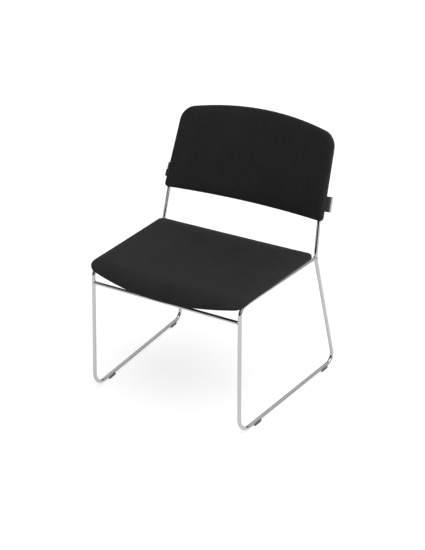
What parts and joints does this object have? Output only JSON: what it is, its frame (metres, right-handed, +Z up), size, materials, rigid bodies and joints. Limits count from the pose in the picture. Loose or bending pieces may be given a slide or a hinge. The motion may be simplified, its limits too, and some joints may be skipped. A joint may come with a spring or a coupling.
{
  "type": "stacking chair",
  "caption": "Stacking chair with bent steel rod sled frame, thin upholstered seat with rolled front edge, curved upholstered back and side hooks for linking in rows.",
  "frame": {"origin": "on the floor, in the middle of the bounding box", "axes": "+Z up, the sitter faces -Y, +X is the right side of the chair seen from in front"},
  "size_m": [0.6038, 0.6244, 0.8129],
  "materials": {
    "frame_chrome": "bright chromium plating over bent solid steel rod",
    "hook_steel": "plated sheet steel",
    "zinc_steel": "zinc plated fasteners",
    "plywood": "moulded beech plywood, hidden inside",
    "foam": "polyurethane foam sheet, hidden inside",
    "upholstery": "smooth black upholstery, matte",
    "undercover_cloth": "black non-woven lining",
    "black_rubber": "matte black rubber",
    "glide_plastic": "dark grey moulded plastic"
  },
  "bodies": {
    "root": {"back_board": "plywood", "back_cover": "upholstery", "back_foam_front": "foam", "back_foam_rear": "foam", "back_screws": "zinc_steel", "back_tab_lower_left": "frame_chrome", "back_tab_lower_right": "frame_chrome", "back_tab_upper_left": "frame_chrome", "back_tab_upper_right": "frame_chrome", "front_crossbar": "frame_chrome", "glide_front_left": "glide_plastic", "glide_front_right": "glide_plastic", "glide_rear_left": "glide_plastic", "glide_rear_right": "glide_plastic", "linking_hook_buffer": "black_rubber", "linking_hook_left": "hook_steel", "linking_hook_right": "hook_steel", "linking_hook_screws": "zinc_steel", "rear_crossbar": "frame_chrome", "seat_board": "plywood", "seat_cover": "upholstery", "seat_foam": "foam", "seat_screws": "zinc_steel", "seat_tab_front_left": "frame_chrome", "seat_tab_front_right": "frame_chrome", "seat_tab_rear_left": "frame_chrome", "seat_tab_rear_right": "frame_chrome", "seat_tee_nuts": "zinc_steel", "seat_undercover": "undercover_cloth", "side_frame_left": "frame_chrome", "side_frame_right": "frame_chrome"}
  },
  "joints": []
}
